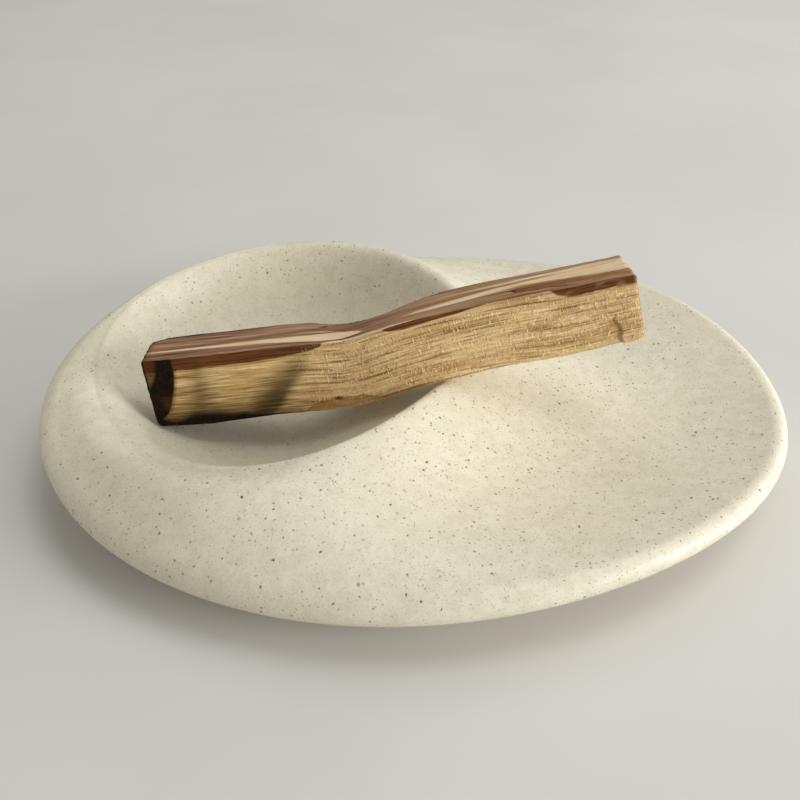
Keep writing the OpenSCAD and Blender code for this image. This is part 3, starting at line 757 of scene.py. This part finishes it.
    w6 = pl(x, (2, -1), (8, -0.05), (22, 0.0), (30, -1))[:, None]
    cr[:, s3] = np.max([k * within(np.abs(tb - c) - wd, sf) for c, wd, sf, k in ((c1, w1, g1, 1.0), (c2, w2, 0.6, 0.9), (c3, w3, 0.6, 0.8), (c4, w4, 0.35, 0.6), (c5, w5, 0.4, 0.9), (c6, w6, 0.5, 0.9))], axis=0)
    # dark lines on the upper side, and the brown tongue behind the slit
    tongue = within(np.abs(tb - pl(x, (75, 4.2), (80, 4.4), (86, 4.2), (92, 3.4), (98, 2.4))[:, None]) - pl(x, (74.5, -1), (75.5, 0.9), (80, 1.3), (86, 1.2), (92, 0.8), (98, 0.3))[:, None], 0.5)
    dl = np.max([within(np.abs(tb - slit_b) - 0.26, 0.22) * (step(74.2, 74.8, xc) * (1 - step(84, 92, xc))),
                 0.50 * within(np.abs(tb - pl(x, (0, 6.4), (17, 6.9), (30, 6.6), (40, 7.6), (50, 7.0))[:, None]) - pl(x, (0, -0.3), (15, 0.25), (24, 0.3), (31, 0.1), (44, -0.4))[:, None], 0.5),
                 0.40 * within(np.abs(tb - pl(x, (0, 3.0), (18, 3.3), (30, 2.0), (36, 1.1))[:, None]) - 0.3, 0.6) * (1 - step(33, 37, xc)),
                 0.40 * within(np.abs(tb - pl(x, (56, 7.2), (66, 7.3), (78, 7.8), (82, 8.0))[:, None]) - pl(x, (56, -0.5), (61, 0.15), (70, 0.2), (80, 0.1), (84, -0.5))[:, None], 0.4),
                 0.40 * within(np.abs(tb - pl(x, (48, 2.6), (60, 3.6), (72, 3.9), (76, 3.6))[:, None]) - 0.15, 0.45) * step(47, 54, xc) * (1 - step(73, 76, xc)),
                 0.90 * within(np.hypot((xc - 35.9) / 1.5, (tb - 9.6 + 0.12 * (xc - 36)) / 0.55) - 0.9, 0.40)], axis=0)
    heart_and_shade[:, s3] = np.maximum(dl, 0.42 * tongue * (1 - step(88, 95, xc)))
    rust[:, s3] = np.maximum(0.60 * tongue, 0.40 * within(tb - pl(x, (56, 0.2), (62, 1.2), (74, 1.5), (86, 1.3), (98, 0.6))[:, None], 0.5) * step(56, 62, xc))
    # smoke band that leans back, a faint shade nearer the end
    xr_ = pl(v, (0, 34.4), (2.5, 33.3), (4.5, 32.5), (7.5, 30.6), (9.5, 29.3), (11, 28.2), (13, 26.6), (15, 25))
    xl_ = pl(v, (0, 30.2), (2.5, 28.6), (4.5, 27.4), (7.5, 24.4), (9.5, 21.8), (11, 20.3), (13, 18), (15, 16))
    d1 = X - xr_ + 0.7 * n1
    d2 = xl_ - X - 0.7 * n1
    band = within(d1 + 0.3, 1.5) * within(d2 + 0.6, pl(v, (2, 2.4), (8, 3.8), (14, 4.4)))
    sm[:, s0] = band * pl(v, (0.8, 0.0), (2.5, 0.40), (5, 0.62), (8, 0.84), (15, 0.86)) + 0.12 * step(6.5, 11, v) * step(7, 11, X) * (1 - step(26, 34, X))
    xs = pl(v, (0, 10.4), (3, 10.2), (8, 9.7), (12, 9.2))
    sm[:, s0] = np.maximum(sm[:, s0], pl(v, (0, 0.25), (4, 0.42), (8, 0.58), (11, 0.78)) * np.exp(-((X - xs - 0.4 + 0.6 * n1) / pl(v, (2, 1.4), (7, 2.3), (12, 3.5))) ** 2))
    # scorch and char along the lower front edge
    lc = pl(x, (0, 13.2), (2, 13.4), (3.5, 14.2), (5.0, 14.2), (7, 13.2), (9, 12.9), (13, 13.1), (18, 13.5), (22, 14.1), (27, 14.8), (30, 15.4), (33, 18))[:, None]
    ls = pl(x, (0, 11.4), (3, 12.3), (5.2, 12.3), (8, 11.2), (11, 11.3), (16.4, 12.0), (21.6, 12.9), (26, 13.9), (30, 14.8), (33, 18))[:, None]
    char_and_shade[:, s0] = within(lc - v + 0.5 * n1, 1.10)
    sm[:, s0] = np.maximum(sm[:, s0], 0.97 * within(ls - 0.3 - v + 0.6 * n1, 2.2))
    sco[:, s0] = 0.45 * within(ls + 0.9 - v + 0.5 * n1, 0.9)
    # burnt corner: a black patch that leans to the end and fills it lower down, with one brown spot left
    xl = pl(v, (0, 2.9), (1.5, 2.7), (3.2, 2.3), (4.6, 1.4), (6.0, 0.4), (7.2, -1.2), (9, -3))
    burnt = within(xl - X + 0.9 * n1, 1.1) * pl(v, (0, 1.06), (6.5, 1.06), (8.5, 0.80), (11, 0.72), (12.6, 1.0))
    burnt = burnt - 0.55 * np.exp(-(((X - 3.3) / 1.0) ** 2 + ((v - 9.7) / 1.5) ** 2)) + 0.25 * fbm(X * 0.7, v * 0.5, 63, 3) * step(5, 8, v)
    char_and_shade[:, s0] = np.maximum(char_and_shade[:, s0], np.clip(burnt, 0, 1.1) * within(X - fx + 0.25, 0.45))
    sco[:, s0] = np.maximum(sco[:, s0], within(X - fx + 0.2, 0.5) * np.clip(0.80 + 0.18 * step(5.0, 8.5, v) - 0.10 * np.exp(-((v - 4.0) / 1.2) ** 2), 0, 1))
    edge_l = within(np.abs(X - fx - 0.1) - 0.1, 0.35) * step(0.5, 2.5, v)
    sco[:, s0] = np.maximum(sco[:, s0], 0.75 * edge_l)
    rust[:, s0] = np.maximum(rust[:, s0], 0.55 * in_ledge + 0.4 * hole)
    heart_and_shade[:, s0] = np.maximum(heart_and_shade[:, s0], np.maximum(0.75 * hole, 0.50 * within(np.abs(v - ledge - 0.15) - 0.10, 0.30) * within(np.abs(X - 39) - 6.5, 2.0)))
    rust[:, s0] = np.maximum(rust[:, s0], 0.38 * np.exp(-(((X - 76) / 7.0) ** 2 + ((v - 0.4) / 1.3) ** 2)))
    rust[:, s0] = np.maximum(rust[:, s0], 0.45 * step(0.9, 0.1, vb - v) * step(27, 33, X) * (1 - step(62, 72, X)))
    rust[:, s0] = np.maximum(rust[:, s0], 0.34 * scoop)
    # painted shade: the front face is darkened along its lower edge between x 43 and 66, where the edge rounds under
    # into shadow
    heart_and_shade[:, s0] = np.maximum(heart_and_shade[:, s0], 0.72 * within(0.35 - (v - vb + 0.75 + 0.2 * n1), 0.40) * step(43, 49, X) * (1 - step(58, 66, X)))
    # thin burnt line on the edges of the burnt end, and a dark strip along the back edge of the upper side up to x
    # 17–28 that is partly char and partly painted shade
    char_and_shade[:, s0] = np.maximum(char_and_shade[:, s0], within(X - 0.55, 0.35))
    # painted shade: the strip along the back edge of the upper side is partly real char and partly the shade where that
    # edge turns away
    char_and_shade[:, s3] = np.maximum(within(xc - 0.50, 0.30) + 0 * tb, within(eb - 0.55 - tb, 0.55) * (1 - step(17, 28, xc)))
    char_and_shade[:, s3] = np.maximum(char_and_shade[:, s3], 0.9 * within(np.abs(xc - 4.6) - 1.2, 0.6) * within(tb - 0.2, 0.5))
    sco[:, s3] = 0.50 * (1 - step(0.3, 2.6, xc + 0 * tb))
    # back and lower sides: charred at the bowl end
    nb1 = fbm(xc * 0.16 + 0 * kh, kh * 0.16, 141, 4)
    char_and_shade[:, s2] = 1 - step(8, 20, xc + 6 * nb1 + 0.3 * kh)
    sco[:, s2] = 1 - step(14, 34, xc + 6 * nb1)
    nb2 = fbm(xc * 0.16 + 0 * bb, bb * 0.16, 143, 4)
    char_and_shade[:, s1] = 1 - step(22, 30, xc + 4 * nb2)
    sco[:, s1] = 1 - step(28, 46, xc + 4 * nb2)
    # fuzz of raised fibres on the split face, middle and far end
    fz[:, s0] = step(28, 40, X + 4 * n1) * (1 - 0.6 * in_ledge) * (1 - 0.7 * np.clip(scoop, 0, 1))
    fz[:, s0] = fz[:, s0] * (1 - np.clip(1.6 * within(vh - np.maximum(l2, l3) - 0.5, 0.5), 0, 1))
    fz[:, s2] = 0.5
    caps = Z()
    caps[-1] = 0.8
    caps[-2] = 0.35

    attrs = {"upper": up, "cream": cr, "heart_and_edge_shade": heart_and_shade, "smoke": sm, "scorch": sco, "char_and_edge_shade": char_and_shade, "fuzz": fz, "sawn": caps, "golden": gold, "rust": rust, "pale": pale, "dim": dim}
    attrs = {k: list(np.clip(a, 0, 1).ravel()) for k, a in attrs.items()}
    uv = np.stack([xc + 0 * g_y, g_y], -1).reshape(-1, 2)

    # ends: rings drawn in towards the middle, slightly uneven
    verts, extra_uv = [P.reshape(-1, 3)], [uv]
    faces = [tuple(reversed(t)) for t in rings_to_faces(K, M, 0)]
    base = K * M
    for end, k in ((0, 0), (1, K - 1)):
        c = P[k].mean(0)
        prev = k * M + np.arange(M)
        nr = 18
        for j in range(1, nr + 1):
            w = 1 - j / nr
            ring = c + (P[k] - c) * w if j < nr else c[None, :]
            rb, rh = (ring - o[k]) @ back[k], (ring - o[k]) @ top[k]
            dent = 0.14 * fbm(rb * 0.9, rh * 0.9, 91 + end, 4) + (0.35 if end == 0 else 0.10) * fbm(rb * 0.3, rh * 0.3, 95 + end, 2)
            dent = dent + (0.10 * noise2(rb * 0.5, rh * 3.0, 99) if end else 0)
            depth = (0.22 + dent) * min(1.0, 3.0 * j / nr)
            ring = ring + ax[k] * (-depth[:, None] if end else depth[:, None])
            idx = base + np.arange(len(ring))
            base += len(ring)
            verts.append(ring)
            extra_uv.append(np.c_[rb + 40 * end, rh])
            m_ = len(ring)
            for key in attrs:
                val = 0.0
                if key == "sawn": val = 1.0 if end else 0.0
                if key == "char_and_edge_shade" and end == 0: val = 0.9
                if key == "scorch" and end == 0: val = 1.0
                attrs[key] = attrs[key] + [val] * m_
            if m_ == 1:
                q = [(prev[i], prev[(i + 1) % M], idx[0]) for i in range(M)]
            else:
                q = [(prev[i], prev[(i + 1) % M], idx[(i + 1) % M], idx[i]) for i in range(M)]
            faces += q if end == 0 else [tuple(reversed(t)) for t in q]
            prev = idx
    ob = make_mesh("palo_stick", np.vstack(verts), [tuple(int(a) for a in t) for t in faces], (mat,), attrs=attrs, uv=np.vstack(extra_uv))
    return ob, (x, v, P[:, :nf])


def fibre_wood():
    m = Nodes("palo_santo_fibre")
    p = m.obj_mm()
    a = m.noise(p, 0.8, 3.0, 0.6)
    b = m.noise(p, 4.0, 2.0, 0.6)
    col = m.mix(m.ramp(a, 0.35, 0.65), lin(242, 210, 148), lin(222, 186, 124))
    col = m.mix(m.ramp(b, 0.5, 0.75, 0.0, 0.5), col, lin(188, 150, 98))
    m.link(col, m.bsdf.inputs["Base Color"])
    m.link(m.ramp(b, 0.3, 0.7, 0.60, 0.75), m.bsdf.inputs["Roughness"])
    m.link(m.bump(b, 0.00003, 0.6), m.bsdf.inputs["Normal"])
    return m.mat


def build_fibres(face, mat):
    """Short raised fibres on the split face: thin closed slivers, most of them across the grain."""
    x, v, P = face
    rng = np.random.default_rng(11)
    verts, faces = [], []
    n = 0
    tries = 0
    while n < 420 and tries < 9000:
        tries += 1
        px = 30 + 68 * rng.random() ** 0.85
        pv = 1.3 + 11.6 * rng.random()
        if (px > 80 and pv < 3.0) or (51 < px < 73 and pv < 2.0):
            continue
        keep = 0.5 + 0.5 * noise2(np.array(px * 0.16), np.array(pv * 0.35), 205)
        if rng.random() > keep * (1.0 if px > 44 else 0.55):
            continue
        i = int(np.argmin(np.abs(x - px)))
        j = int(np.argmin(np.abs(v[i] - pv)))
        if i < 3 or i > len(x) - 6 or j < 3 or j > P.shape[1] - 4:
            continue
        c = P[i, j]
        t1 = P[i + 2, j] - P[i - 2, j]; t1 = t1 / np.linalg.norm(t1)
        t2 = P[i, j + 2] - P[i, j - 2]; t2 = t2 / np.linalg.norm(t2)
        nn = np.cross(t1, t2); nn = nn / np.linalg.norm(nn)
        if nn[1] > 0:
            nn = -nn
        ang = rng.normal(0.0, 0.30) if rng.random() < 0.8 else rng.normal(1.5, 0.25)
        d = math.cos(ang) * t2 + math.sin(ang) * t1
        w = np.cross(nn, d)
        ln = 0.5 + 1.3 * rng.random() ** 1.6
        rad = 0.032 + 0.032 * rng.random()
        bow = rng.normal(0, 0.10)
        rise_ = 0.05 + 0.25 * rng.random() ** 3
        a = n * 17
        for k in range(5):
            u = k / 4
            cc = c + d * ln * (u - 0.5) + w * bow * (1 - (2 * u - 1) ** 2) + nn * (0.03 + rise_ * u * u)
            r = rad * (1 - 0.65 * abs(2 * u - 1) ** 2)
            for q in range(3):
                th = TAU * q / 3
                verts.append(cc + r * (math.cos(th) * w + math.sin(th) * nn))
        verts.append(c - d * ln * 0.54 + nn * 0.02)
        verts.append(c + d * ln * 0.54 + nn * (0.03 + rise_ * 1.08))
        for k in range(4):
            for q in range(3):
                q1 = (q + 1) % 3
                faces.append((a + 3 * k + q, a + 3 * k + q1, a + 3 * k + 3 + q1, a + 3 * k + 3 + q))
        for q in range(3):
            q1 = (q + 1) % 3
            faces.append((a + 15, a + q1, a + q))
            faces.append((a + 16, a + 12 + q, a + 12 + q1))
        n += 1
    return make_mesh("palo_fibres", np.array(verts), faces, (mat,))


# ---------------------------------------------------------------- build
tray = build_tray()
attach(tray, "tray")
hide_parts("tray_body")

rub = pad_rubber()
for name in ("pad_back", "pad_front_left", "pad_front_right"):
    pad = build_pad(name, rub)
    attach(pad, "tray")
    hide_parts(name)

wood = stick_wood()
stick, split_face = build_stick(wood)
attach(stick, "stick")
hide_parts("palo_santo_stick")

fibres = build_fibres(split_face, fibre_wood())
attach(fibres, "stick")

# ---------------------------------------------------------------- floor, light, camera
floor_mat = Nodes("studio_floor")
fp = floor_mat.obj_mm()
floor_mat.link(floor_mat.mix(floor_mat.ramp(floor_mat.noise(fp, 0.01, 3.0), 0.3, 0.7), lin(214, 212, 208), lin(220, 218, 214)), floor_mat.bsdf.inputs["Base Color"])
floor_mat.bsdf.inputs["Roughness"].default_value = 0.75
fm = bpy.data.meshes.new("studio_floor")
S = 3.0
fm.from_pydata([(-S, -S, 0), (S, -S, 0), (S, S, 0), (-S, S, 0)], [], [(0, 1, 2, 3)])
fm.materials.append(floor_mat.mat)
floor = bpy.data.objects.new("studio_floor", fm)
bpy.context.scene.collection.objects.link(floor)

world = bpy.data.worlds.new("studio")
bpy.context.scene.world = world
world.use_nodes = True
bg = world.node_tree.nodes["Background"]
bg.inputs[0].default_value = (1.0, 0.98, 0.91, 1.0)
bg.inputs[1].default_value = 0.375


def area(name, az, el, dist, size, power, col=(1, 1, 1)):
    a, e = math.radians(az), math.radians(el)
    loc = Vector((math.cos(a) * math.cos(e), math.sin(a) * math.cos(e), math.sin(e))) * dist + Vector((0, 0, 0.015))
    li = bpy.data.lights.new(name, "AREA")
    li.shape = "DISK"
    li.size = size
    li.energy = power
    li.color = col
    ob = bpy.data.objects.new(name, li)
    ob.location = loc
    ob.rotation_euler = (Vector((0, 0, 0.015)) - loc).to_track_quat("-Z", "Y").to_euler()
    bpy.context.scene.collection.objects.link(ob)
    return ob


area("key", -25.0, 12.0, 1.1, 0.6, 10.8)
area("overhead", 0.0, 70.0, 1.1, 0.6, 2.85)
area("back", 90.0, 60.0, 1.1, 0.6, 1.1)
area("side", 25.0, 12.0, 1.1, 0.6, 2.6)

F_PX, PITCH, ROLL = 1000.0, math.radians(36.0), math.radians(-1.1)
D_MM, U0, V0 = 211.5, 413.4, 387.6
d = np.array([0, math.cos(PITCH), -math.sin(PITCH)])
u = np.array([0, math.sin(PITCH), math.cos(PITCH)])
r = np.array([1.0, 0, 0])
c, s = math.cos(ROLL), math.sin(ROLL)
r, u = c * r + s * u, -s * r + c * u
eye = np.array([0, 0, 15.0]) - D_MM * d - ((U0 - 400) / F_PX * D_MM) * r + ((V0 - 400) / F_PX * D_MM) * u
cam = bpy.data.cameras.new("camera")
cam.sensor_width = 36.0
cam.lens = 36.0 * F_PX / 800.0
cam.clip_start = 0.01
cam_ob = bpy.data.objects.new("camera", cam)
cam_ob.matrix_world = Matrix([[r[i], u[i], -d[i], eye[i] * MM] for i in range(3)] + [[0, 0, 0, 1]])
bpy.context.scene.collection.objects.link(cam_ob)
bpy.context.scene.camera = cam_ob
bpy.context.scene.view_settings.view_transform = "Standard"
bpy.context.scene.view_settings.look = "None"
